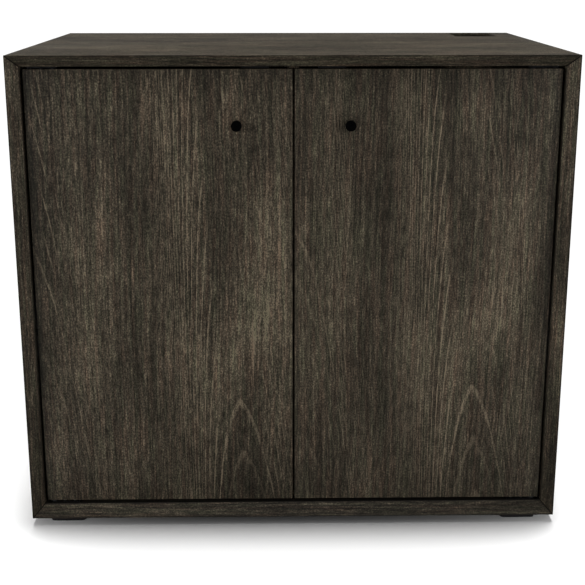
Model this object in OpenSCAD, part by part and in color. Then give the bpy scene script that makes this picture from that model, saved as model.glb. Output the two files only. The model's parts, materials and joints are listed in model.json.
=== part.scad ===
// Aquarium stand cabinet: a mitred box of thick boards with bevelled front edges, two inset
// doors on pin pivots, a centre partition that helps carry the tank, and low square feet.
// Millimetres. X runs left to right, Y front to back, Z up. The origin is on the floor,
// under the middle of the cabinet.

/* [Cabinet] */
// Width over the two side boards
body_w = 900; // [800:10:1100]
// Depth from the front edge to the back
body_d = 600; // [560:10:650]
// Height from the floor to the top face
body_h = 800; // [780:10:850]
// Thickness of the boards and of the doors
board_t = 19; // [18:1:22]
// Thickness of the back panel
back_t = 9; // [6:1:9]
// Thickness of the adjustable shelf
shelf_t = 16; // [12:1:19]
// Height of the middle of the shelf above the floor
shelf_z = 400; // [350:10:500]

/* [Doors] */
// Gap between a door and the side board
gap_side = 5; // [5:0.5:8]
// Gap between a door and the top board
gap_top = 4; // [3.5:0.5:6]
// Gap between a door and the bottom board
gap_bottom = 6; // [5:0.5:7]
// Gap between the two doors
gap_centre = 4; // [2:0.5:5]
// Knob diameter
knob_d = 17; // [14:1:30]
// How far a knob stands out of its door
knob_l = 12; // [12:1:17]
// Knob centre from the free edge and from the top edge of its door
knob_inset = 89; // [60:1:120]

/* [Feet] */
// Side of a square foot
foot_w = 60; // [50:5:80]
// Height of a foot
foot_h = 13; // [12:1:20]
// Set-back of a foot from the front or the back edge
foot_inset_y = 17; // [12:1:40]
// Set-back of a foot from the side
foot_inset_x = 28; // [24:1:60]

/* [Hose cut-out in the top] */
// Width of the cut-out
hose_w = 82; // [50:1:100]
// Front-to-back size of the cut-out
hose_d = 105; // [50:1:120]
// Set-back of the cut-out from the right side
hose_inset_x = 42; // [30:1:80]
// Strip of board left behind the cut-out
hose_inset_y = 18; // [16:1:60]

/* [Hidden] */
$fn = 48;

// Colours
STAIN = "#3c3831";
BEECH = "#c9a878";
BLACK = "#17171a";
STEEL = "#8d9092";
DARK_STEEL = "#2c2d30";
NYLON = "#1f1f22";

// Sides and ends that the repeated parts are made for
LEFT = -1;
RIGHT = 1;
LOWER = -1;
UPPER = 1;

// Working clearances
glue = 0.05;                         // between glued or drilled-for faces
running = 0.05;                      // round a pin in its bush

// Box
edge_flat = 1;                       // blunt nose left along the outer front edge
bevel = board_t;                     // how far back the bevelled front edge runs
carcass_h = body_h - foot_h;
carcass_z = foot_h + carcass_h / 2;  // middle of the box
inner_x = body_w / 2 - board_t;      // inner face of a side board
inner_top = body_h - board_t;        // underside of the top board
inner_bottom = foot_h + board_t;     // upper face of the bottom board
front_y = -body_d / 2;
back_y = body_d / 2;
rabbet_lip = 10;                     // board left outside the back panel
back_play = 0.5;                     // room round the back panel in its rabbet
back_face = back_y - back_t;         // inner face of the back panel

// Splines in the mitres
spline_t = 3;
spline_w = 16;
spline_ends_y = [front_y + 32, back_y - 22];
spline_place = 0.6;                  // from the outer (0) to the inner corner (1) of the mitre

// Doors
door_front = front_y + bevel;
door_back = door_front + board_t;
door_bottom = inner_bottom + gap_bottom;
door_top = inner_top - gap_top;
door_hinge_x = inner_x - gap_side;
door_free_x = gap_centre / 2;
knob_x = door_free_x + knob_inset;
knob_z = door_top - knob_inset;
knob_screw_r = 2;
knob_screw_l = 27;
knob_bore = 10;

// Pivots: each pin stands at the middle of the door's thickness
pivot_x = door_hinge_x - board_t / 2;
pivot_y = door_front + board_t / 2;
pin_r = 3;
pin_depth = 16;                      // how far a pin reaches into its door
plate_t = 2.5;
plate_w = 12;
plate_l = 44;                        // from the pin to the far end of a plate
plate_screw_at = [18, 36];           // screws along a plate, from the pin
bush_r = 5;
bush_l = 15;
washer_r = 6;

// Screws: [length, shank radius, head radius]
back_screw = [28, 1.75, 3.5];
foot_screw = [24, 2, 4];
plate_screw = [16, 1.75, 3.5];
door_plate_screw = [25, 1.75, 3.5];
catch_screw = [22, 1.5, 3];
strike_screw = [14, 1.5, 3];

// Partition, shelf and back
partition_front = door_back + 4;
dowel_r = 4;
dowel_in_board = 12;
dowel_in_partition = 18;
dowel_rows_y = [-210, -70, 70, 210];
shelf_front = door_back + 20;
shelf_back = back_face - 12;
shelf_play = 1;                      // each end of the shelf to the board beside it
shelf_pin_r = 2.45;
shelf_pin_hole_r = 2.5;
shelf_pin_hole_depth = 11;
shelf_pin_pitch = 32;
shelf_pin_rows_y = [-210, 230];
shelf_pin_z = shelf_z - shelf_t / 2 - shelf_pin_r;
pass_hole_r = 30;                    // hose hole through the partition
pass_hole_y = 200;
pass_hole_z = body_h - 110;
vent_size = [140, 80];               // the two openings in the back panel
vent_x = inner_x / 2;
vent_z = 150;

// Feet
foot_corner_r = 8;
foot_x = body_w / 2 - foot_inset_x - foot_w / 2;
foot_y = body_d / 2 - foot_inset_y - foot_w / 2;
foot_screw_at = foot_w / 4;          // each side of the foot's middle
foot_screw_in = foot_w / 6;          // towards the cabinet's middle, clear of the door plates
foot_screw_head = 4;                 // how deep the screw heads sit in a foot

// Magnetic catches, behind the doors' upper free corners
catch_x = 62;
catch_front = door_back + 2;
catch_size = [44, 18, 19];
magnet_size = [22, 9, 7];
magnet_drop = 12;                    // middle of the magnet below the top board
pole_t = 1.5;
catch_screw_x = 17;
catch_screw_y = catch_front + 12;
catch_screw_drop = 8;                // screw head face below the top board
strike_size = [36, 13];
strike_t = 1.5;
strike_z = door_top - 8;
strike_screw_x = 12;

// Bumpers on the partition's front edge
bumper_r = 3.6;
bumper_x = door_free_x + bumper_r + 0.2;
bumper_heights = [120, 420, 690];
bumper_gap = 0.1;

// ---- placing ----

// Draws its children, made for the right half, on the given side
module on_side(side) {
    mirror([side == LEFT ? 1 : 0, 0, 0]) children();
}

module on_both_sides() {
    for (side = [LEFT, RIGHT]) on_side(side) children();
}

// A frame at a right-hand pivot, on the board that its plate is screwed to, +Z into the cabinet
module at_board(end) {
    translate([pivot_x, pivot_y, end == LOWER ? inner_bottom : inner_top])
        mirror([0, 0, end == LOWER ? 0 : 1]) children();
}

// A frame at a right-hand pivot, on the door's lower or upper edge, +Z into the door
module at_door(end) {
    translate([pivot_x, pivot_y, end == LOWER ? door_bottom : door_top])
        mirror([0, 0, end == LOWER ? 0 : 1]) children();
}

function end_gap(end) = end == LOWER ? gap_bottom : gap_top;

// ---- shapes ----

// A centred rectangle with true round corners
module rounded_rectangle(size, r) {
    square([size[0] - 2 * r, size[1]], center = true);
    square([size[0], size[1] - 2 * r], center = true);
    for (x = [-1, 1], y = [-1, 1])
        translate([x * (size[0] / 2 - r), y * (size[1] / 2 - r)]) circle(r);
}

// A cross-slotted countersunk screw with its head face at Z = 0, pointing down
module screw(kind) {
    head_h = kind[2] - kind[1];
    difference() {
        rotate_extrude() polygon([
            [0, 0], [kind[2], 0], [kind[1], -head_h],
            [kind[1], -kind[0] + 2 * kind[1]], [0, -kind[0]]
        ]);
        for (turn = [0, 90]) rotate([0, 0, turn])
            cube([0.8, kind[2] * 1.1, kind[1]], center = true);
    }
}

// The countersunk hole for that screw, open above its head face
module screw_hole(kind) {
    head_h = kind[2] - kind[1];
    rotate_extrude() polygon([
        [0, 1], [kind[2] + glue, 1], [kind[2] + glue, 0], [kind[1] + glue, -head_h],
        [kind[1] + glue, -kind[0] - glue], [0, -kind[0] - glue]
    ]);
}

// ---- box ----

// One board of the box with its outer face up at Z = 0: its ends are mitred, its front edge
// is bevelled, and its back edge is rabbeted for the back panel.
module mitred_board(length) {
    half = length / 2 - glue / 2;
    intersection() {
        rotate([90, 0, 90]) translate([0, 0, -length / 2]) linear_extrude(length) polygon([
            [front_y, 0], [back_y, 0], [back_y, -rabbet_lip], [back_face, -rabbet_lip],
            [back_face, -board_t], [front_y + bevel, -board_t], [front_y, -edge_flat]
        ]);
        rotate([90, 0, 0]) translate([0, 0, -body_d / 2]) linear_extrude(body_d) polygon([
            [-half, 0], [half, 0], [half - board_t, -board_t], [board_t - half, -board_t]
        ]);
    }
}

// A spline across each of the four mitres, or with a play the grooves for them
module splines(play = 0) {
    across = (spline_w / 2 + play) / sqrt(2);
    along = (spline_t / 2 + play) / sqrt(2);
    length = spline_ends_y[1] - spline_ends_y[0] + 2 * play;
    for (i = [-1, 1], k = [-1, 1])
        translate([0, spline_ends_y[1] + play, carcass_z])
            mirror([i < 0 ? 1 : 0, 0, 0]) mirror([0, 0, k < 0 ? 1 : 0])
                translate([body_w / 2 - spline_place * board_t, 0, carcass_h / 2 - spline_place * board_t])
                    rotate([90, 0, 0]) linear_extrude(length) polygon([
                        [-across - along, across - along], [along - across, across + along],
                        [across + along, along - across], [across - along, -across - along]
                    ]);
}

// A dowel at each end of the partition in each row, or with a play the holes for them
module dowels(play = 0) {
    length = dowel_in_board + dowel_in_partition + 2 * play;
    for (y = dowel_rows_y, z = [inner_bottom - dowel_in_board, inner_top - dowel_in_partition])
        translate([0, y, z - play]) cylinder(r = dowel_r + play, h = length);
}

// Places of the screws that hold the back panel, pointing into the boards and the partition
module at_back_screws() {
    rim = (rabbet_lip + board_t) / 2;
    rows = [for (i = [0:3]) foot_h + 80 + i * (carcass_h - 160) / 3];
    columns = [-190, 190];
    places = concat(
        [for (x = [rim - body_w / 2, 0, body_w / 2 - rim], z = rows) [x, z]],
        [for (x = columns, z = [foot_h + rim, body_h - rim]) [x, z]]
    );
    for (place = places) translate([place[0], back_y, place[1]]) rotate([-90, 0, 0]) children();
}

module at_foot_screws() {
    for (i = [-1, 1], j = [-1, 1], k = [-1, 1])
        translate([i * foot_x + k * foot_screw_at, j * (foot_y - foot_screw_in), foot_screw_head])
            mirror([0, 0, 1]) children();
}

// One column of holes in each row, drilled both ways from X = 0
module shelf_pin_holes() {
    for (y = shelf_pin_rows_y, i = [-2:2])
        translate([0, y, shelf_pin_z + i * shelf_pin_pitch]) rotate([0, 90, 0])
            cylinder(r = shelf_pin_hole_r, h = 2 * shelf_pin_hole_depth, center = true);
}

module side_board(side) {
    difference() {
        translate([side * body_w / 2, 0, carcass_z]) rotate([0, side * 90, 0]) mitred_board(carcass_h);
        splines(glue);
        at_back_screws() screw_hole(back_screw);
    }
}

module top_board() {
    cut_out_x = body_w / 2 - hose_inset_x - hose_w / 2;
    cut_out_y = back_y - hose_inset_y - hose_d / 2;
    color(STAIN) difference() {
        translate([0, 0, body_h]) mitred_board(body_w);
        translate([cut_out_x, cut_out_y, inner_top - 1]) linear_extrude(board_t + 2)
            rounded_rectangle([hose_w, hose_d], 5);
        splines(glue);
        dowels(glue);
        on_both_sides() at_board(UPPER) at_plate_screws(plate_t) screw_hole(plate_screw);
        on_both_sides() at_catch_screws() screw_hole(catch_screw);
        at_back_screws() screw_hole(back_screw);
    }
}

module bottom_board() {
    color(STAIN) difference() {
        translate([0, 0, foot_h]) rotate([0, 180, 0]) mitred_board(body_w);
        splines(glue);
        dowels(glue);
        on_both_sides() at_board(LOWER) at_plate_screws(plate_t) screw_hole(plate_screw);
        at_foot_screws() screw_hole(foot_screw);
        at_back_screws() screw_hole(back_screw);
    }
}

module left_side_board() {
    color(STAIN) difference() {
        side_board(LEFT);
        translate([-inner_x, 0, 0]) shelf_pin_holes();
    }
}

module right_side_board() {
    color(STAIN) side_board(RIGHT);
}

module mitre_splines() {
    color(BEECH) splines();
}

module back_panel() {
    room = 2 * (rabbet_lip + back_play);
    color(STAIN) difference() {
        translate([0, back_y, carcass_z]) rotate([90, 0, 0])
            linear_extrude(back_t) square([body_w - room, carcass_h - room], center = true);
        for (x = [-vent_x, vent_x]) translate([x, back_y + 1, vent_z]) rotate([90, 0, 0])
            linear_extrude(back_t + 2) rounded_rectangle(vent_size, 12);
        at_back_screws() screw_hole(back_screw);
    }
}

module back_panel_screws() {
    color(STEEL) at_back_screws() screw(back_screw);
}

module centre_partition() {
    color(STAIN) difference() {
        translate([-board_t / 2, partition_front, inner_bottom])
            cube([board_t, back_face - partition_front, inner_top - inner_bottom]);
        dowels(glue);
        translate([-board_t / 2, 0, 0]) shelf_pin_holes();
        translate([0, pass_hole_y, pass_hole_z]) rotate([0, 90, 0])
            cylinder(r = pass_hole_r, h = board_t + 2, center = true);
        at_back_screws() screw_hole(back_screw);
    }
}

module partition_dowels() {
    color(BEECH) dowels();
}

// ---- shelf ----

module adjustable_shelf() {
    left = -inner_x + shelf_play;
    right = -board_t / 2 - shelf_play;
    color(STAIN) translate([left, shelf_front, shelf_z - shelf_t / 2])
        cube([right - left, shelf_back - shelf_front, shelf_t]);
}

// A pin in its hole along +X, with a thin collar against the board
module shelf_pin() {
    inside = shelf_pin_hole_depth - 0.5;
    collar = [shelf_pin_r + 1, 0.8];
    rotate([0, 90, 0]) {
        translate([0, 0, -inside]) cylinder(r = shelf_pin_r, h = inside + 8);
        cylinder(r = collar[0], h = collar[1]);
    }
}

module shelf_pins() {
    color(STEEL) for (y = shelf_pin_rows_y) {
        translate([-inner_x, y, shelf_pin_z]) shelf_pin();
        translate([-board_t / 2, y, shelf_pin_z]) mirror([1, 0, 0]) shelf_pin();
    }
}

// ---- feet ----

module foot(i, j) {
    color(BLACK) difference() {
        translate([i * foot_x, j * foot_y, 0]) linear_extrude(foot_h)
            rounded_rectangle([foot_w, foot_w], foot_corner_r);
        at_foot_screws() {
            screw_hole(foot_screw);
            cylinder(r = foot_screw[2] + glue, h = foot_screw_head + 1);
        }
    }
}

module front_left_foot() { foot(-1, -1); }
module front_right_foot() { foot(1, -1); }
module rear_left_foot() { foot(-1, 1); }
module rear_right_foot() { foot(1, 1); }

module foot_screws() {
    color(STEEL) at_foot_screws() screw(foot_screw);
}

// ---- catches and bumpers, made for the right ----

module at_catch_screws() {
    for (i = [-1, 1])
        translate([catch_x + i * catch_screw_x, catch_screw_y, inner_top - catch_screw_drop])
            mirror([0, 0, 1]) children();
}

module catch_housing() {
    pocket = [magnet_size[0] + 2 * glue, magnet_size[1] + 1, magnet_size[2] + 2 * pole_t + 4 * glue];
    color(BLACK) difference() {
        translate([catch_x - catch_size[0] / 2, catch_front, inner_top - catch_size[2]]) cube(catch_size);
        translate([catch_x - pocket[0] / 2, catch_front - 1, inner_top - magnet_drop - pocket[2] / 2])
            cube([pocket[0], pocket[1] + glue, pocket[2]]);
        at_catch_screws() {
            screw_hole(catch_screw);
            cylinder(r = catch_screw[2] + glue, h = catch_size[2]);
        }
    }
}

module catch_magnet() {
    low_z = inner_top - magnet_drop - magnet_size[2] / 2;
    color(DARK_STEEL) translate([catch_x - magnet_size[0] / 2, catch_front, low_z]) cube(magnet_size);
}

// The two steel plates that lead the magnet's pull to the strike plate
module catch_pole_plates() {
    front = door_back + strike_t + bumper_gap;
    offset = magnet_size[2] / 2 + glue;
    color(STEEL) for (z = [-offset - pole_t, offset])
        translate([catch_x - magnet_size[0] / 2, front, inner_top - magnet_drop + z])
            cube([magnet_size[0], catch_front + magnet_size[1] - front, pole_t]);
}

module left_catch_housing() { on_side(LEFT) catch_housing(); }
module right_catch_housing() { on_side(RIGHT) catch_housing(); }
module left_catch_magnet() { on_side(LEFT) catch_magnet(); }
module right_catch_magnet() { on_side(RIGHT) catch_magnet(); }
module left_catch_pole_plates() { on_side(LEFT) catch_pole_plates(); }
module right_catch_pole_plates() { on_side(RIGHT) catch_pole_plates(); }

module catch_screws() {
    color(STEEL) on_both_sides() at_catch_screws() screw(catch_screw);
}

module door_bumpers() {
    length = partition_front - door_back - bumper_gap;
    tip = 1;
    color(NYLON) on_both_sides() for (z = bumper_heights)
        translate([bumper_x, partition_front, z]) rotate([90, 0, 0]) {
            cylinder(r = bumper_r, h = length - tip);
            translate([0, 0, length - tip]) cylinder(r1 = bumper_r, r2 = bumper_r - tip, h = tip);
        }
}

// ---- pivots, made for the right ----

// A plate seen from above with its pin at the origin, running towards the door's free edge
module plate_outline(play = 0) {
    circle(plate_w / 2 + play);
    translate([-plate_l - play, -plate_w / 2 - play]) square([plate_l + play, plate_w + 2 * play]);
}

// Places of a plate's screws, with their head faces at the given height
module at_plate_screws(z) {
    for (x = plate_screw_at) translate([-x, 0, z]) children();
}

module cabinet_plate(end) {
    color(DARK_STEEL) at_board(end) difference() {
        linear_extrude(plate_t) plate_outline();
        translate([0, 0, -1]) cylinder(r = pin_r + glue, h = plate_t + 2);
        at_plate_screws(plate_t) screw_hole(plate_screw);
    }
}

module pivot_pin(end) {
    color(DARK_STEEL) at_board(end) cylinder(r = pin_r, h = end_gap(end) + pin_depth);
}

module thrust_washer() {
    thickness = gap_bottom - plate_t - running;
    color(NYLON) at_board(LOWER) translate([0, 0, plate_t]) difference() {
        cylinder(r = washer_r, h = thickness);
        translate([0, 0, -1]) cylinder(r = pin_r + running, h = thickness + 2);
    }
}

module door_plate(end) {
    color(DARK_STEEL) at_door(end) difference() {
        linear_extrude(plate_t) plate_outline();
        translate([0, 0, -1]) cylinder(r = pin_r + 2 * running, h = plate_t + 2);
        at_plate_screws(0) mirror([0, 0, 1]) screw_hole(door_plate_screw);
    }
}

module bush(end) {
    color(NYLON) at_door(end) translate([0, 0, plate_t + glue]) difference() {
        cylinder(r = bush_r, h = bush_l);
        translate([0, 0, -1]) cylinder(r = pin_r + running, h = bush_l + 2);
    }
}

module door_plate_screws() {
    color(STEEL) for (end = [LOWER, UPPER])
        at_door(end) at_plate_screws(0) mirror([0, 0, 1]) screw(door_plate_screw);
}

module lower_left_cabinet_plate() { on_side(LEFT) cabinet_plate(LOWER); }
module upper_left_cabinet_plate() { on_side(LEFT) cabinet_plate(UPPER); }
module lower_right_cabinet_plate() { on_side(RIGHT) cabinet_plate(LOWER); }
module upper_right_cabinet_plate() { on_side(RIGHT) cabinet_plate(UPPER); }
module lower_left_pivot_pin() { on_side(LEFT) pivot_pin(LOWER); }
module upper_left_pivot_pin() { on_side(LEFT) pivot_pin(UPPER); }
module lower_right_pivot_pin() { on_side(RIGHT) pivot_pin(LOWER); }
module upper_right_pivot_pin() { on_side(RIGHT) pivot_pin(UPPER); }
module left_thrust_washer() { on_side(LEFT) thrust_washer(); }
module right_thrust_washer() { on_side(RIGHT) thrust_washer(); }
module lower_left_door_plate() { on_side(LEFT) door_plate(LOWER); }
module upper_left_door_plate() { on_side(LEFT) door_plate(UPPER); }
module lower_right_door_plate() { on_side(RIGHT) door_plate(LOWER); }
module upper_right_door_plate() { on_side(RIGHT) door_plate(UPPER); }
module lower_left_bush() { on_side(LEFT) bush(LOWER); }
module upper_left_bush() { on_side(LEFT) bush(UPPER); }
module lower_right_bush() { on_side(RIGHT) bush(LOWER); }
module upper_right_bush() { on_side(RIGHT) bush(UPPER); }
module left_door_plate_screws() { on_side(LEFT) door_plate_screws(); }
module right_door_plate_screws() { on_side(RIGHT) door_plate_screws(); }

module cabinet_plate_screws() {
    color(STEEL) on_both_sides() for (end = [LOWER, UPPER])
        at_board(end) at_plate_screws(plate_t) screw(plate_screw);
}

// ---- doors, made for the right ----

module at_strike_screws() {
    for (i = [-1, 1])
        translate([catch_x + i * strike_screw_x, door_back + strike_t, strike_z])
            rotate([-90, 0, 0]) children();
}

module door() {
    color(STAIN) difference() {
        translate([door_free_x, door_front, door_bottom])
            cube([door_hinge_x - door_free_x, board_t, door_top - door_bottom]);
        for (end = [LOWER, UPPER]) at_door(end) {
            translate([0, 0, -1]) linear_extrude(plate_t + glue + 1) plate_outline(glue);
            cylinder(r = bush_r + glue, h = plate_t + bush_l + 2 * glue);
            at_plate_screws(0) mirror([0, 0, 1]) screw_hole(door_plate_screw);
        }
        translate([knob_x, door_front - 1, knob_z]) rotate([-90, 0, 0])
            cylinder(r = knob_screw_r + glue, h = board_t + 2);
        at_strike_screws() screw_hole(strike_screw);
    }
}

// A turned knob: a narrow waist at the door, a softly rounded rim and a shallow ring in its face
module knob() {
    r = knob_d / 2;
    rim = 1.2;
    ring = 0.62 * r;
    waist = 2;
    rounding = [for (i = [0:6]) [r - rim + rim * cos(15 * i), knob_l - rim + rim * sin(15 * i)]];
    profile = concat(
        [[0, 0], [r - waist, 0], [r - waist, 1.2], [r, 2.4]], rounding,
        [[ring + 0.5, knob_l], [ring, knob_l - 0.4], [ring - 0.5, knob_l], [0, knob_l]]
    );
    color(BLACK) translate([knob_x, door_front, knob_z]) rotate([90, 0, 0]) difference() {
        rotate_extrude() polygon(profile);
        translate([0, 0, -1]) cylinder(r = knob_screw_r, h = knob_bore + 1);
    }
}

// The screw that holds the knob from inside, with a cross-slotted pan head
module knob_screw() {
    head = [4, 2.4];
    color(STEEL) translate([knob_x, door_back, knob_z]) rotate([-90, 0, 0]) difference() {
        union() {
            cylinder(r = head[0], h = head[1]);
            translate([0, 0, -knob_screw_l]) cylinder(r = knob_screw_r - glue, h = knob_screw_l + 1);
        }
        for (turn = [0, 90]) rotate([0, 0, turn]) translate([0, 0, head[1]])
            cube([0.9, 4.4, 2.4], center = true);
    }
}

module strike_plate() {
    color(STEEL) difference() {
        translate([catch_x, door_back + strike_t, strike_z]) rotate([90, 0, 0])
            linear_extrude(strike_t) rounded_rectangle(strike_size, 3);
        at_strike_screws() screw_hole(strike_screw);
    }
}

module strike_screws() {
    color(STEEL) at_strike_screws() screw(strike_screw);
}

module left_door() { on_side(LEFT) door(); }
module right_door() { on_side(RIGHT) door(); }
module left_knob() { on_side(LEFT) knob(); }
module right_knob() { on_side(RIGHT) knob(); }
module left_knob_screw() { on_side(LEFT) knob_screw(); }
module right_knob_screw() { on_side(RIGHT) knob_screw(); }
module left_strike_plate() { on_side(LEFT) strike_plate(); }
module right_strike_plate() { on_side(RIGHT) strike_plate(); }
module left_strike_screws() { on_side(LEFT) strike_screws(); }
module right_strike_screws() { on_side(RIGHT) strike_screws(); }

// ---- nodes ----

top_board();
bottom_board();
left_side_board();
right_side_board();
mitre_splines();
back_panel();
back_panel_screws();
centre_partition();
partition_dowels();
adjustable_shelf();
shelf_pins();
front_left_foot();
front_right_foot();
rear_left_foot();
rear_right_foot();
foot_screws();
left_catch_housing();
left_catch_magnet();
left_catch_pole_plates();
right_catch_housing();
right_catch_magnet();
right_catch_pole_plates();
catch_screws();
door_bumpers();
lower_left_cabinet_plate();
upper_left_cabinet_plate();
lower_right_cabinet_plate();
upper_right_cabinet_plate();
cabinet_plate_screws();
lower_left_pivot_pin();
upper_left_pivot_pin();
lower_right_pivot_pin();
upper_right_pivot_pin();
left_thrust_washer();
right_thrust_washer();
left_door();
left_knob();
left_knob_screw();
lower_left_door_plate();
upper_left_door_plate();
lower_left_bush();
upper_left_bush();
left_door_plate_screws();
left_strike_plate();
left_strike_screws();
right_door();
right_knob();
right_knob_screw();
lower_right_door_plate();
upper_right_door_plate();
lower_right_bush();
upper_right_bush();
right_door_plate_screws();
right_strike_plate();
right_strike_screws();
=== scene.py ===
import json
import math
from collections import namedtuple

import bmesh
import bpy
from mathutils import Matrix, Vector


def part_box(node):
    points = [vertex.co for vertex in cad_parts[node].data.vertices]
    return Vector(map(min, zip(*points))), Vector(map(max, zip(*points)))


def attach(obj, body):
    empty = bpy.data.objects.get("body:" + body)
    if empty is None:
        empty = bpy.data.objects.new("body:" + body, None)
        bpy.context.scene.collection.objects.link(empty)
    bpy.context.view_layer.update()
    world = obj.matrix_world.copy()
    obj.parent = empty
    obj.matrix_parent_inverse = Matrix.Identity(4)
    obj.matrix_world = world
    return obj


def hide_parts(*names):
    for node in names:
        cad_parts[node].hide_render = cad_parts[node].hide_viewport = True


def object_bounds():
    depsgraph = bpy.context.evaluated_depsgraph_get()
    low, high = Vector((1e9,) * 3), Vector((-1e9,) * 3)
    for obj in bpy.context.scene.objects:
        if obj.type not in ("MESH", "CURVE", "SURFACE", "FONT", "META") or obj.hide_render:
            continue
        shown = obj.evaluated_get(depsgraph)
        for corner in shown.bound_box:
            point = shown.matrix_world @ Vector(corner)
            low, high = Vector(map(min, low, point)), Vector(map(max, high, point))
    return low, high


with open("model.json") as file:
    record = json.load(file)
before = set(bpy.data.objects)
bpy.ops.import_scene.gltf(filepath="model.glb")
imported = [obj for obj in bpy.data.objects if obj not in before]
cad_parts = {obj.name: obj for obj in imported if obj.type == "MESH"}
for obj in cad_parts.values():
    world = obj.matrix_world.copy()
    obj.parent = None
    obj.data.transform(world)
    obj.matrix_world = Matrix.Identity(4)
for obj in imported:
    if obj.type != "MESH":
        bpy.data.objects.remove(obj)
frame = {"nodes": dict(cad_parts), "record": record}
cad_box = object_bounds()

# The looks of the aquarium stand cabinet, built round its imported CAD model. Metres throughout.
MM = 0.001

FRONT_Y = cad_box[0][1]
SIDE_X = cad_box[1][0]
CARCASS_LOW_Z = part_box("bottom_board")[0].z
CARCASS_HIGH_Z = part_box("top_board")[1].z

FEET = ("front_left_foot", "front_right_foot", "rear_left_foot", "rear_right_foot")

# A door, for its veneer: the height of its top, its outer side, the sign that leads inwards
# from there, and how far left of its arches a second run of them stands.
Door = namedtuple("Door", "top side inward second_run")


# ---------------------------------------------------------------- shader helpers

class Shader:
    """One material's node tree, with a short call for each kind of node used here."""

    def __init__(self, name):
        self.material = bpy.data.materials.new(name)
        self.material.use_nodes = True
        self.tree = self.material.node_tree
        self.surface = self.tree.nodes["Principled BSDF"]
        self.point = self.add("ShaderNodeTexCoord").outputs["Object"]

    def add(self, kind, inputs=None, **settings):
        node = self.tree.nodes.new(kind)
        for key, value in settings.items():
            setattr(node, key, value)
        for key, value in (inputs or {}).items():
            self.put(node.inputs[key], value)
        return node

    def put(self, socket, value):
        if isinstance(value, bpy.types.NodeSocket):
            self.tree.links.new(value, socket)
        else:
            socket.default_value = value

    def math(self, operation, *values):
        node = self.add("ShaderNodeMath", operation=operation)
        for socket, value in zip(node.inputs, values):
            self.put(socket, value)
        return node.outputs[0]

    def product(self, first, *others):
        for value in others:
            first = self.math("MULTIPLY", first, value)
        return first

    def length(self, a, b):
        """The hypotenuse of two sides."""
        return self.math("SQRT", self.math("MULTIPLY_ADD", a, a, self.product(b, b)))

    def split(self, vector):
        return self.add("ShaderNodeSeparateXYZ", {"Vector": vector}).outputs

    def join(self, x, y, z):
        return self.add("ShaderNodeCombineXYZ", {"X": x, "Y": y, "Z": z}).outputs[0]

    def noise(self, vector, scale, detail=2.0, roughness=0.5, shift=(0, 0, 0)):
        """Noise from 0 to 1. Its scale says how many features there are in a metre along each axis."""
        inputs = {"Vector": vector, "Scale": scale, "Location": shift}
        place = self.add("ShaderNodeMapping", inputs).outputs[0]
        inputs = {"Vector": place, "Scale": 1.0, "Detail": detail, "Roughness": roughness}
        return self.add("ShaderNodeTexNoise", inputs).outputs["Fac"]

    def even_noise(self, pitch, detail=2.0, roughness=0.5):
        """Noise with as many features in a metre along every axis."""
        return self.noise(self.point, (pitch, pitch, pitch), detail, roughness)

    def ramp(self, value, low, high, to_low=0.0, to_high=1.0, smooth=True):
        kind = "SMOOTHSTEP" if smooth else "LINEAR"
        inputs = {
            "Value": value, "From Min": low, "From Max": high, "To Min": to_low, "To Max": to_high,
        }
        return self.add("ShaderNodeMapRange", inputs, interpolation_type=kind).outputs["Result"]

    def band(self, value, rise, full, still, gone):
        """0 below rise, 1 from full to still, and 0 again past gone."""
        return self.product(self.ramp(value, rise, full), self.ramp(value, gone, still))

    def mix(self, factor, a, b, mode="MIX"):
        node = self.add("ShaderNodeMix", data_type="RGBA", blend_type=mode)
        self.put(node.inputs["Factor"], factor)
        self.put(node.inputs[6], a)
        self.put(node.inputs[7], b)
        return node.outputs[2]

    def dimmed(self, tint, share, where=1.0):
        """A colour of which only a share is left."""
        return self.mix(where, tint, self.join(share, share, share), "MULTIPLY")

    def total(self, *shares):
        """The sum of each noise's swing about its middle, times its weight."""
        result = None
        for weight, noise in shares:
            swing = self.math("MULTIPLY_ADD", noise, weight, -weight / 2)
            result = swing if result is None else self.math("ADD", result, swing)
        return result

    def scale_of_colours(self, value, stops):
        node = self.add("ShaderNodeValToRGB", {"Fac": value})
        elements = node.color_ramp.elements
        while len(elements) < len(stops):
            elements.new(0.5)
        for element, (place, tint) in zip(elements, stops):
            element.position = place
            element.color = tint
        return node.outputs["Color"]

    def bump(self, height, distance, strength=1.0):
        inputs = {"Height": height, "Distance": distance, "Strength": strength}
        return self.add("ShaderNodeBump", inputs).outputs["Normal"]

    def finish(self, tint, roughness, normal, **others):
        self.put(self.surface.inputs["Base Color"], tint)
        self.put(self.surface.inputs["Roughness"], roughness)
        self.put(self.surface.inputs["Normal"], normal)
        for name, value in others.items():
            self.put(self.surface.inputs[name.replace("_", " ")], value)
        return self.material


def colour(red, green, blue):
    return (red, green, blue, 1.0)


def grey(value):
    return colour(value, value, value)


# ---------------------------------------------------------------- wood

# The stain from its deepest pores to its palest fibres.
STAIN = (
    (0.00, colour(0.0066, 0.0052, 0.0033)),
    (0.30, colour(0.0175, 0.0142, 0.0094)),
    (0.52, colour(0.0330, 0.0268, 0.0180)),
    (0.78, colour(0.0610, 0.0495, 0.0335)),
    (1.00, colour(0.1350, 0.1090, 0.0740)),
)
PALE_FIBRE = colour(0.140, 0.112, 0.076)
WARM_CAST = colour(1.07, 0.96, 0.95)
GREEN_CAST = colour(0.95, 1.035, 0.98)

# The noises in the wood: features in a metre across, along and through the board.
SLOW_WANDER = (2.2, 1.5, 2.2)
QUICK_WANDER = (20, 9, 20)
PATCHES = (11, 4, 11)
LINES = (300, 5, 300)
DASHES = (380, 48, 380)
SPECKS = (540, 340, 540)
CASTS = (160, 9, 160)
RING_GAPS = (60, 3.5, 60)

# How far the fibres wander, in metres.
SLOW_REACH = 0.03
QUICK_REACH = 0.004

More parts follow.
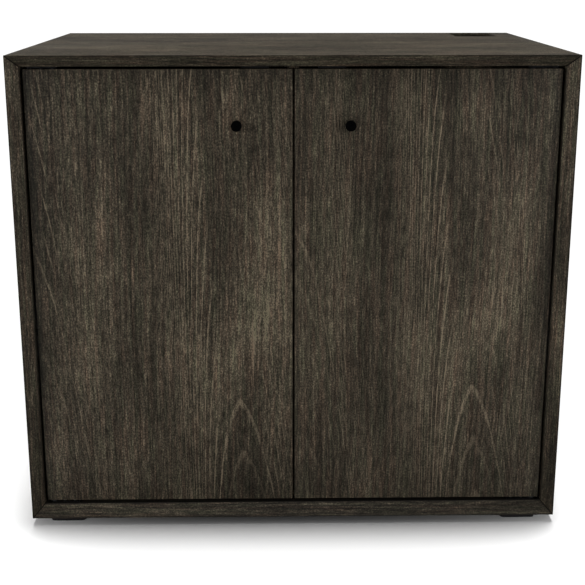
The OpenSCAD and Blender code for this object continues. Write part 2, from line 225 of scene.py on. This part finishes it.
# How far each noise swings the tone, which runs from 0 to 1 about a middle of 0.5.
PATCH_SWING = 0.85
LINE_SWING = 0.85
DASH_SWING = 1.2
SPECK_SWING = 1.75

# The growth rings: each arch's leg falls by LEG_SLOPE times its distance aside, and LEG_CURVE
# times the cube of that.
RINGS_PER_METRE = 10.5
RING_PHASE = 0.78
RING_TILT = 0.06
ARCH_ROUNDING = 4 * MM
LEG_SLOPE = 2.0
LEG_CURVE = 880.0
RING_WANDER = 0.03
RING_STRENGTH = 0.95
SECOND_RUN_RISE = 0.284
SECOND_RUN_STRENGTH = 0.9

# A band is given by where it rises, is full, is still full and is gone, and a fade by where it
# starts and ends and by what it is worth there. RING_LINE is in shares of the way between rings.
RING_LINE = (0.74, 0.86, 0.92, 0.98)
UNDER_TOP_ARCH = (0.05, 0.03)
CLEAR_OF_MIDDLE = (0.028, 0.042)
FADE_ASIDE = (0.06, 0.16, 1.0, 0.0)
LEAST_ON_LEFT = (0.0, -0.03, 0.05, 0.75)
LEAST_IN_ARCHES = 0.6
GAP_EDGE = (0.42, 0.62)
PLAINER_ON_LEFT = (-0.002, 0.008, 1.35, 0.7)
PLAINER_ON_TOP = (-0.02, -0.05, 1.0, 0.35)

PALE_BAND = 0.20
PALE_BAND_ACROSS = (-0.03, 0.035, 0.06, 0.12)
PALE_BAND_RISE = (0.03, 0.13)
PALE_BAND_FADE = (0.45, 0.30, 0.2, 1.0)
DARK_CLOUD = 0.15
CLOUD_ACROSS, CLOUD_ALONG = -0.16, 0.33
CLOUD_WIDTH, CLOUD_HEIGHT = 0.06, 0.13

# Painted shade on a door, as the share of its colour that it keeps: below its top, inside its
# outer edge, and over its foot, where the height is measured from its arches.
UNDER_TOP = (0.0, 0.07, 0.68, 1.0)
INSIDE_EDGE = (0.0, 0.024, 0.55, 1.0)
OVER_FOOT = (-0.2, -0.04, 0.80, 1.0)

# Between these heights the painted light and shade on a front edge goes from its foot's share to its
# middle's.
FOOT_Z, MIDDLE_Z = 0.05, 0.45
# Painted shade under the doors: what the bottom board's upper face keeps of its colour, by how far
# it is behind the cabinet's front.
SILL = (22 * MM, 60 * MM, 0.10, 1.0)

# How far a face has to look forwards or up to take the painted light and shade, as a part of its normal.
LOOKS_FORWARDS = (-0.5, -0.6)
LOOKS_UP = (0.8, 0.9)

WORN_ARRIS = 0.22
WOOD_SPECULAR = 0.10


def stained_wood(name, grain, figure, seed, wear=0.0, front=None, sill=False, door=None):
    """Dark stained veneer, worked out in three dimensions so that its edges carry it too.

    grain names the axes across, along and through the board. figure is where the grain starts
    from, in metres across and along the board, and where the arches stand on a door. seed keeps
    boards with the same figure apart. wear is how pale the wood is rubbed. front is painted light
    and shade: the share of its colour that the wood keeps where it looks forwards, at the foot and
    at mid height. sill says that the board runs under the doors, and paints shade on its upper face
    just behind the cabinet's front. door is the Door that the veneer covers, if it covers one: only
    doors show arches, and only doors get painted shade along their top, outer edge and foot.
    """
    s = Shader(name)
    axes = dict(zip("xyz", s.split(s.point)))
    across = s.math("SUBTRACT", axes[grain[0]], figure[0])
    along = s.math("SUBTRACT", axes[grain[1]], figure[1])
    through = s.math("ADD", axes[grain[2]], seed)
    board = s.join(across, along, through)

    # The fibres wander slowly from side to side on their way up the board.
    slow = s.noise(board, SLOW_WANDER, 1.0)
    quick = s.noise(board, QUICK_WANDER)
    bent = s.math("ADD", across, s.total((SLOW_REACH, slow), (QUICK_REACH, quick)))
    fibre = s.join(bent, along, through)

    # Soft patches, straight lines, short dashes and specks, from large to small.
    patch = s.noise(fibre, PATCHES, 3.0, 0.6)
    line = s.noise(fibre, LINES, 1.0)
    dash = s.noise(fibre, DASHES, 2.0, 0.6)
    speck = s.noise(fibre, SPECKS, 2.0, 0.7)
    swing = s.total((PATCH_SWING, patch), (LINE_SWING, line), (DASH_SWING, dash), (SPECK_SWING, speck))
    tone = s.math("ADD", 0.5, swing)
    if door:
        tone = s.math("ADD", tone, clouds(s, across, along))
    wood = with_casts(s, s.scale_of_colours(tone, STAIN), fibre)

    if door:
        broken = s.ramp(s.math("ADD", dash, speck), 0.85, 1.1, 0.25, 1.0)
        rings = both_runs(s, across, along, quick, fibre, door.second_run)
        wood = s.mix(s.product(rings, broken), wood, PALE_FIBRE)
        # Painted shade along the door's top, its outer edge and its foot.
        wood = s.dimmed(wood, painted_door_shade(s, axes, along, door))
    # Painted light and shade on the faces that look forwards, set by their height.
    if front:
        share = s.ramp(axes["z"], FOOT_Z, MIDDLE_Z, *front)
        wood = s.dimmed(wood, share, s.ramp(facing(s)[1], *LOOKS_FORWARDS))
    # Painted shade on the bottom board's upper face, just behind the cabinet's front under the doors.
    if sill:
        share = s.ramp(s.math("SUBTRACT", axes["y"], FRONT_Y), *SILL)
        wood = s.dimmed(wood, share, s.ramp(facing(s)[2], *LOOKS_UP))
    if wear:
        rubbed = s.ramp(s.even_noise(60, 3.0, 0.6), 0.42, 0.66, 0.0, wear)
        wood = s.mix(rubbed, wood, PALE_FIBRE)

    height = s.total((1.0, dash), (0.8, speck))
    roughness = s.ramp(tone, 0.2, 0.8, 0.70, 0.56, smooth=False)
    normal = s.bump(height, 0.12 * MM, 0.5)
    return s.finish(wood, roughness, normal, Specular_IOR_Level=WOOD_SPECULAR)


def facing(s):
    """Which way the surface looks, as its three parts."""
    return s.split(s.add("ShaderNodeNewGeometry").outputs["True Normal"])


def with_casts(s, wood, fibre):
    """Some fibres lean to red and some to green."""
    hue = s.noise(fibre, CASTS, 3.0, 0.6, shift=(5, 5, 5))
    wood = s.mix(s.ramp(hue, 0.50, 0.62), wood, s.mix(1.0, wood, WARM_CAST, "MULTIPLY"))
    return s.mix(s.ramp(hue, 0.50, 0.38), wood, s.mix(1.0, wood, GREEN_CAST, "MULTIPLY"))


def clouds(s, across, along):
    """A paler band that stands over the arches, and a dark cloud to the left of its upper end."""
    wide = s.band(across, *PALE_BAND_ACROSS)
    tall = s.product(s.ramp(along, *PALE_BAND_RISE), s.ramp(along, *PALE_BAND_FADE))
    aside = s.math("DIVIDE", s.math("SUBTRACT", across, CLOUD_ACROSS), CLOUD_WIDTH)
    above = s.math("DIVIDE", s.math("SUBTRACT", along, CLOUD_ALONG), CLOUD_HEIGHT)
    dark = s.ramp(s.length(aside, above), 1.0, 0.0, 0.0, DARK_CLOUD)
    return s.math("SUBTRACT", s.product(wide, tall, PALE_BAND), dark)


def both_runs(s, across, along, wander, fibre, second_run):
    """The arches, and a second run of them higher up, which the door's left edge cuts through."""
    first = growth_rings(s, across, along, wander, fibre)
    second_across = s.math("ADD", across, second_run)
    second_along = s.math("SUBTRACT", along, SECOND_RUN_RISE)
    second = growth_rings(s, second_across, second_along, wander, fibre)
    return s.math("MAXIMUM", first, s.product(second, SECOND_RUN_STRENGTH))


def growth_rings(s, across, along, wander, fibre):
    """Pale lines where the saw left the growth rings: nested arches whose legs run up as stripes."""
    tilted = s.math("MULTIPLY_ADD", along, RING_TILT, across)
    aside = s.length(tilted, ARCH_ROUNDING)
    straight = s.product(aside, LEG_SLOPE)
    lean = s.math("MULTIPLY_ADD", s.math("POWER", aside, 3.0), LEG_CURVE, straight)
    height = s.math("ADD", s.math("ADD", along, lean), s.total((RING_WANDER, wander)))
    ring = s.math("FRACT", s.math("MULTIPLY_ADD", height, RINGS_PER_METRE, RING_PHASE))
    line = s.band(ring, *RING_LINE)

    # Above the topmost arch only the legs are left, most of them on the left.
    arch = s.ramp(height, *UNDER_TOP_ARCH)
    open_top = s.math("MAXIMUM", arch, s.ramp(aside, *CLEAR_OF_MIDDLE))
    beside = s.ramp(aside, *FADE_ASIDE)
    least = s.math("MAXIMUM", s.ramp(across, *LEAST_ON_LEFT), s.product(arch, LEAST_IN_ARCHES))
    gaps = s.noise(fibre, RING_GAPS, 1.0, shift=(9, 2, 4))
    patchy = s.ramp(gaps, *GAP_EDGE, least, 1.0)

    # The left legs and the topmost arch are the plainest.
    on_left = s.ramp(across, *PLAINER_ON_LEFT)
    on_top = s.ramp(height, *PLAINER_ON_TOP)
    return s.product(line, open_top, beside, patchy, on_left, on_top, RING_STRENGTH)


def painted_door_shade(s, axes, along, door):
    """Painted shade: the share of its colour that a door keeps, less along its top, its outer edge and
    its foot.
    """
    below = s.math("SUBTRACT", door.top, axes["z"])
    inside = s.product(s.math("SUBTRACT", axes["x"], door.side), door.inward)
    return s.product(
        s.ramp(below, *UNDER_TOP), s.ramp(inside, *INSIDE_EDGE), s.ramp(along, *OVER_FOOT),
    )


def pooled_stain():
    """The dark line of a mitre, where the stain collects."""
    known = bpy.data.materials.get("pooled_stain")
    if known:
        return known
    s = Shader("pooled_stain")
    cloud = s.even_noise(150)
    tint = s.mix(s.ramp(cloud, 0.3, 0.7), colour(0.004, 0.0034, 0.0026), colour(0.009, 0.0075, 0.0055))
    return s.finish(tint, 0.7, s.bump(cloud, 0.05 * MM), Specular_IOR_Level=WOOD_SPECULAR)


def woods(name, *place, **others):
    """One wood as it lies on the faces, a little rubbed on the arrises, and dark in the joints."""
    return (
        stained_wood(name, *place, **others),
        stained_wood(name + "_worn", *place, wear=WORN_ARRIS, **others),
        pooled_stain(),
    )


def bare_beech():
    """Unstained wood with short dark flecks."""
    s = Shader("bare_beech")
    fleck = s.noise(s.point, (500, 40, 500))
    tone = s.noise(s.point, (60, 8, 60), 3.0)
    wood = s.mix(s.ramp(tone, 0.3, 0.7), colour(0.42, 0.25, 0.13), colour(0.60, 0.40, 0.23))
    wood = s.mix(s.ramp(fleck, 0.62, 0.75, 0.0, 0.5), wood, colour(0.28, 0.15, 0.07))
    return s.finish(wood, 0.62, s.bump(fleck, 0.05 * MM))


# ---------------------------------------------------------------- metal, plastic and rubber

TURNING_PITCH = 0.35 * MM


def steel(name, bright, dark, roughness):
    """Rolled steel with fine scratches."""
    s = Shader(name)
    cloud = s.even_noise(90, 3.0)
    scratch = s.noise(s.point, (2600, 260, 900))
    tint = s.mix(s.ramp(cloud, 0.3, 0.7), dark, bright)
    worn = s.math("ADD", cloud, scratch)
    rough = s.ramp(worn, 0.6, 1.4, roughness * 0.75, roughness * 1.25, smooth=False)
    return s.finish(tint, rough, s.bump(scratch, 0.02 * MM, 0.6), Metallic=1.0)


def moulded(name, tint, roughness, pitch=1800, depth=0.04 * MM):
    """Plastic or rubber with a fine spark-eroded texture."""
    s = Shader(name)
    grain = s.even_noise(pitch)
    cloud = s.even_noise(40, 3.0)
    pale = colour(*(c * 1.6 + 0.003 for c in tint[:3]))
    mottled = s.mix(s.ramp(cloud, 0.35, 0.75, 0.0, 0.7), tint, pale)
    rough = s.ramp(cloud, 0.3, 0.7, roughness - 0.07, roughness + 0.07, smooth=False)
    return s.finish(mottled, rough, s.bump(grain, depth, 0.5), Specular_IOR_Level=0.25)


def knob_paint(name, centre):
    """Satin black over turned metal: faint rings round the knob's own axis."""
    s = Shader(name)
    place = s.split(s.point)
    aside = s.math("SUBTRACT", place[0], centre.x)
    above = s.math("SUBTRACT", place[2], centre.z)
    turned = s.math("SINE", s.product(s.length(aside, above), 2 * math.pi / TURNING_PITCH))
    speck = s.even_noise(2200)
    tint = s.mix(s.ramp(speck, 0.4, 0.8), colour(0.0002, 0.0002, 0.00025), colour(0.0009, 0.0009, 0.001))
    rough = s.ramp(speck, 0.3, 0.7, 0.50, 0.62, smooth=False)
    height = s.math("MULTIPLY_ADD", turned, 0.2, speck)
    return s.finish(tint, rough, s.bump(height, 0.02 * MM, 0.5), Specular_IOR_Level=0.015)


# ---------------------------------------------------------------- meshes

SHARPEST_KEPT = math.radians(25)
SHORTEST_WOOD_ARRIS = 12 * MM
SHORTEST_FOOT_ARRIS = 20 * MM
GROOVE_TO_ARRIS = 1.8
ON_MITRE = 0.1 * MM


def welded(node):
    """A bmesh copy of a CAD node with its split corners joined and its flat faces whole."""
    mesh = bmesh.new()
    mesh.from_mesh(frame["nodes"][node].data)
    bmesh.ops.remove_doubles(mesh, verts=mesh.verts, dist=0.001 * MM)
    bmesh.ops.dissolve_limit(mesh, angle_limit=math.radians(0.2), verts=mesh.verts, edges=mesh.edges)
    return mesh


def eased(node, name, body, width, shortest):
    """A piece that stands for a CAD node, with the arrises longer than shortest rounded over."""
    mesh = welded(node)
    arrises = [
        edge for edge in mesh.edges
        if edge.calc_length() > shortest and len(edge.link_faces) == 2 and edge.is_convex
        and edge.calc_face_angle(0) > SHARPEST_KEPT
    ]
    grooves = [edge for edge in arrises if all(on_mitre(corner.co) for corner in edge.verts)]
    others = [edge for edge in arrises if edge not in grooves]
    round_over(mesh, grooves, width * GROOVE_TO_ARRIS, 2)
    round_over(mesh, [edge for edge in others if edge.is_valid], width, 1)
    return placed(mesh, name, body, node)


def round_over(mesh, edges, width, material):
    bmesh.ops.bevel(
        mesh, geom=edges, offset=width, offset_type="OFFSET", segments=3, profile=0.5,
        affect="EDGES", clamp_overlap=False, material=material,
    )


def on_mitre(point):
    """Whether a point lies where a side board meets the top or the bottom board."""
    aside = SIDE_X - abs(point.x)
    below_top = CARCASS_HIGH_Z - point.z
    above_bottom = point.z - CARCASS_LOW_Z
    return min(abs(aside - below_top), abs(aside - above_bottom)) < ON_MITRE


def placed(mesh, name, body, node):
    """Turns a bmesh into a piece that rides on a body and stands for a CAD node."""
    piece = linked(mesh, name)
    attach(piece, body)
    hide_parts(node)
    return piece


def linked(mesh, name):
    """Turns a bmesh into an object in the scene, and frees it."""
    data = bpy.data.meshes.new(name)
    mesh.normal_update()
    mesh.to_mesh(data)
    mesh.free()
    piece = bpy.data.objects.new(name, data)
    bpy.context.scene.collection.objects.link(piece)
    return piece


def shade(piece, angle=28):
    """Smooth shading that keeps every edge sharper than the angle."""
    data = piece.data
    data.polygons.foreach_set("use_smooth", [True] * len(data.polygons))
    data.set_sharp_from_angle(angle=math.radians(angle))


def lathe(profile, centre, steps=96):
    """A solid turned about the line through centre along -Y. The profile is (radius, height)."""
    mesh = bmesh.new()
    rings = []
    for radius, height in profile:
        ring = []
        for k in range(steps):
            turn = 2 * math.pi * k / steps
            x = centre.x + radius * math.cos(turn)
            z = centre.z + radius * math.sin(turn)
            ring.append(mesh.verts.new((x, centre.y - height, z)))
        rings.append(ring)
    for low, high in zip(rings, rings[1:]):
        for k in range(steps):
            after = (k + 1) % steps
            mesh.faces.new((low[k], low[after], high[after], high[k]))
    mesh.faces.new(rings[0][::-1])
    mesh.faces.new(rings[-1])
    bmesh.ops.recalc_face_normals(mesh, faces=mesh.faces)
    return mesh


def dress(node, material):
    """Gives a CAD node that stays as it is its material."""
    for slot in frame["nodes"][node].material_slots:
        slot.link = "OBJECT"
        slot.material = material


# ---------------------------------------------------------------- pieces

BOARD_ARRIS = 0.5 * MM
DOOR_ARRIS = 0.7 * MM
FOOT_ARRIS = 0.8 * MM

# Where the arches stand on each door: the share of its width and the height above its foot.
ARCHES = {"left": (0.79, 0.180), "right": (0.71, 0.200)}
# How far past the door's left edge the second run of arches stands.
BEYOND_EDGE = {"left": 14 * MM, "right": 5 * MM}
DOOR_SEED = {"left": 0.20, "right": 0.22}

KNOB_NECK_INSET = 2.0 * MM
KNOB_RIM = 1.2 * MM
KNOB_RIM_STEPS = 10
KNOB_GROOVE_SHARE = 0.62
KNOB_GROOVE_HALF_WIDTH = 0.5 * MM
KNOB_GROOVE_DEPTH = 0.4 * MM
KNOB_CENTRE = 0.4 * MM


def wooden(node, body, materials, width=BOARD_ARRIS):
    """A board with its arrises rounded over, in the three woods that woods() gives."""
    piece = eased(node, node + "_wood", body, width, SHORTEST_WOOD_ARRIS)
    for material in materials:
        piece.data.materials.append(material)
    shade(piece)


def build_carcass():
    # The front shares paint light and shade on the faces that look forwards, and sill paints shade under
    # the doors.
    flat = woods("veneer_top", "yxz", (0.1, 0.9), 0.37, front=(0.76, 0.76))
    low = woods("veneer_bottom", "yxz", (0.1, 0.9), 0.37, front=(0.60, 0.60), sill=True)
    upright = woods("veneer_upright", "yzx", (0.7, 1.4), 0.81, front=(0.60, 1.15))
    wooden("top_board", "cabinet", flat)
    wooden("bottom_board", "cabinet", low)
    wooden("left_side_board", "cabinet", upright)
    wooden("right_side_board", "cabinet", upright)
    wooden("centre_partition", "cabinet", upright)
    wooden("adjustable_shelf", "cabinet", flat)
    dress("back_panel", stained_wood("veneer_back", "xzy", (0.9, 1.7), 0.13))


def build_doors():
    for side, (share, rise) in ARCHES.items():
        low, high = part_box(side + "_door")
        figure = (low.x + share * (high.x - low.x), low.z + rise)
        second_run = figure[0] - low.x + BEYOND_EDGE[side]
        if side == "left":
            door = Door(high.z, low.x, 1.0, second_run)
        else:
            door = Door(high.z, high.x, -1.0, second_run)
        veneer = woods("veneer_" + side, "xzy", figure, DOOR_SEED[side], door=door)
        wooden(side + "_door", side + "_door", veneer, DOOR_ARRIS)


def knob_profile(radius, length):
    """A knob's outline: a neck, a flared skirt, a rounded rim and a groove turned in the face."""
    neck = radius - KNOB_NECK_INSET
    skirt = [
        (neck, 0.0), (neck, 1.1 * MM), (neck + 0.15 * MM, 1.35 * MM),
        (radius - 0.15 * MM, 2.3 * MM), (radius, 2.6 * MM),
    ]
    rim = []
    for step in range(KNOB_RIM_STEPS + 1):
        turn = math.pi / 2 * step / KNOB_RIM_STEPS
        out, up = KNOB_RIM * math.cos(turn), KNOB_RIM * math.sin(turn)
        rim.append((radius - KNOB_RIM + out, length - KNOB_RIM + up))
    groove = KNOB_GROOVE_SHARE * radius
    half, floor = KNOB_GROOVE_HALF_WIDTH, length - KNOB_GROOVE_DEPTH
    side = length - 0.7 * KNOB_GROOVE_DEPTH
    face = [
        (groove + half, length), (groove + half / 2, side), (groove, floor),
        (groove - half / 2, side), (groove - half, length), (KNOB_CENTRE, length),
    ]
    return skirt + rim + face


def build_knobs():
    for side in ("left", "right"):
        low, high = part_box(side + "_knob")
        centre = Vector(((low.x + high.x) / 2, high.y, (low.z + high.z) / 2))
        profile = knob_profile((high.x - low.x) / 2, high.y - low.y)
        knob = placed(lathe(profile, centre), side + "_knob_turned", side + "_door", side + "_knob")
        knob.data.materials.append(knob_paint("knob_paint_" + side, centre))
        shade(knob, 35)


def build_feet():
    plastic = moulded("foot_plastic", colour(0.0055, 0.0055, 0.006), 0.6)
    for node in FEET:
        foot = eased(node, node + "_moulded", "cabinet", FOOT_ARRIS, SHORTEST_FOOT_ARRIS)
        foot.data.materials.append(plastic)
        shade(foot)


def dress_hardware():
    slots = {
        "steel": steel("zinc_plate", colour(0.56, 0.57, 0.59), colour(0.40, 0.41, 0.43), 0.34),
        "black_steel": steel("black_steel", grey(0.012), grey(0.005), 0.5),
        "nylon": moulded("nylon", colour(0.004, 0.004, 0.0045), 0.5),
        "catch_plastic": moulded("catch_plastic", colour(0.004, 0.004, 0.0045), 0.5),
        "bumper_rubber": moulded("bumper_rubber", grey(0.02), 0.75),
        "magnet": moulded("ferrite", colour(0.03, 0.03, 0.034), 0.55, 900, 0.06 * MM),
        "bare_wood": bare_beech(),
    }
    for part in frame["record"]["subparts"]:
        if part["material_slot"] in slots:
            dress(part["node"], slots[part["material_slot"]])


# ---------------------------------------------------------------- studio

FLOOR_HALF_WIDTH = 30
FLOOR_BOUNCE = 0.60

WORLD_LIGHT = 0.21
WORLD_SEEN = 1.6

# Each softbox's place, the point it looks at, its width and height, and its power in watts.
SOFTBOXES = {
    "overhead": ((0, 0, 3.2), (0, 0, 0), (1.4, 1.4), 65),
    "above_front": ((0, -1.2, 3.0), (0, -0.3, 0.4), (1.8, 1.0), 27),
    "front_left": ((-2.6, -1.9, 0.9), (0, -0.3, 0.5), (0.4, 0.6), 51),
    "front_right": ((2.6, -1.9, 0.9), (0, -0.3, 0.5), (0.4, 0.6), 52),
    "back_left": ((-2.4, 2.6, 1.1), (0, 0.3, 0.4), (1.0, 1.0), 45),
    "back_right": ((2.4, 2.6, 1.1), (0, 0.3, 0.4), (1.0, 1.0), 45),
}

FLOOR_LAMP_STRENGTH = 2.7
FLOOR_LAMP_SPREAD = math.radians(8.5)
FLOOR_LAMP_TILT = (math.radians(-3.2), math.radians(0.8), 0)
CORNER_LAMP_PLACE = Vector((0.55, -0.44, 0.05))
CORNER_LAMP_POWER = 0.9
CORNER_LAMP_RADIUS = 0.02

# The camera stands in front of the cabinet, a little left of its middle, and looks down at it.
CAMERA_PLACE = (-0.0306, -2.0902, 0.9351)
CAMERA_PITCH = 0.2601
CAMERA_YAW = 0.0159
CAMERA_LENS = 69.97
CAMERA_RISE = -0.0425
CAMERA_SENSOR = 36


def build_floor():
    """A white floor that throws back less light than it shows to the camera."""
    mesh = bmesh.new()
    bmesh.ops.create_grid(mesh, x_segments=1, y_segments=1, size=FLOOR_HALF_WIDTH)
    floor = linked(mesh, "studio_floor")
    s = Shader("studio_floor")
    seen = s.add("ShaderNodeLightPath").outputs["Is Camera Ray"]
    tone = s.mix(seen, grey(FLOOR_BOUNCE), grey(1.0))
    paper = s.add("ShaderNodeBsdfDiffuse", {"Color": tone, "Roughness": 0.0})
    s.put(s.tree.nodes["Material Output"].inputs["Surface"], paper.outputs["BSDF"])
    floor.data.materials.append(s.material)
    return floor


def build_world():
    """Faint light from everywhere, and a white backdrop where the camera looks past the floor."""
    world = bpy.data.worlds.new("studio")
    world.use_nodes = True
    tree = world.node_tree
    path = tree.nodes.new("ShaderNodeLightPath")
    strength = tree.nodes.new("ShaderNodeMix")
    strength.inputs["A"].default_value = WORLD_LIGHT
    strength.inputs["B"].default_value = WORLD_SEEN
    background = tree.nodes["Background"]
    background.inputs["Color"].default_value = grey(1.0)
    tree.links.new(path.outputs["Is Camera Ray"], strength.inputs["Factor"])
    tree.links.new(strength.outputs["Result"], background.inputs["Strength"])
    bpy.context.scene.world = world


def lamp_at(name, kind, place, power):
    data = bpy.data.lights.new(name, kind)
    data.energy = power
    lamp = bpy.data.objects.new(name, data)
    lamp.location = place
    bpy.context.scene.collection.objects.link(lamp)
    return lamp


def softbox(name, place, target, size, power):
    """A rectangular lamp that looks at a point."""
    lamp = lamp_at(name, "AREA", place, power)
    lamp.data.shape = "RECTANGLE"
    lamp.data.size, lamp.data.size_y = size
    lamp.rotation_euler = (Vector(target) - Vector(place)).to_track_quat("-Z", "Y").to_euler()
    return lamp


def floor_lamp():
    """An even light from above and a little behind, which draws the cabinet's shadow on the floor."""
    lamp = lamp_at("floor_lamp", "SUN", (0, 0, 0), FLOOR_LAMP_STRENGTH)
    lamp.data.angle = FLOOR_LAMP_SPREAD
    lamp.rotation_euler = FLOOR_LAMP_TILT
    return lamp


def corner_lamp(side, sign):
    """A small lamp low in front of a corner, which keeps the floor there from going dark."""
    x, y, z = CORNER_LAMP_PLACE
    lamp = lamp_at("corner_lamp_" + side, "POINT", (sign * x, y, z), CORNER_LAMP_POWER)
    lamp.data.shadow_soft_size = CORNER_LAMP_RADIUS
    lamp.visible_camera = False
    lamp.visible_glossy = False
    return lamp


def light_only(lamps, floor, floor_state):
    """Lets lamps light nothing but the floor, or all but the floor."""
    receivers = bpy.data.collections.new("floor_" + floor_state)
    receivers.objects.link(floor)
    receivers.collection_objects[0].light_linking.link_state = floor_state
    for lamp in lamps:
        lamp.light_linking.receiver_collection = receivers


def build_light(floor):
    build_world()
    light_only([softbox(name, *setting) for name, setting in SOFTBOXES.items()], floor, "EXCLUDE")
    light_only([floor_lamp(), corner_lamp("left", -1), corner_lamp("right", 1)], floor, "INCLUDE")


def build_camera():
    data = bpy.data.cameras.new("camera")
    data.lens = CAMERA_LENS
    data.sensor_width = CAMERA_SENSOR
    data.shift_y = CAMERA_RISE
    camera = bpy.data.objects.new("camera", data)
    camera.location = CAMERA_PLACE
    camera.rotation_euler = (math.pi / 2 - CAMERA_PITCH, 0, -CAMERA_YAW)
    bpy.context.scene.collection.objects.link(camera)
    bpy.context.scene.camera = camera


build_carcass()
build_doors()
build_knobs()
build_feet()
dress_hardware()
build_light(build_floor())
build_camera()
bpy.context.scene.view_settings.view_transform = "Standard"
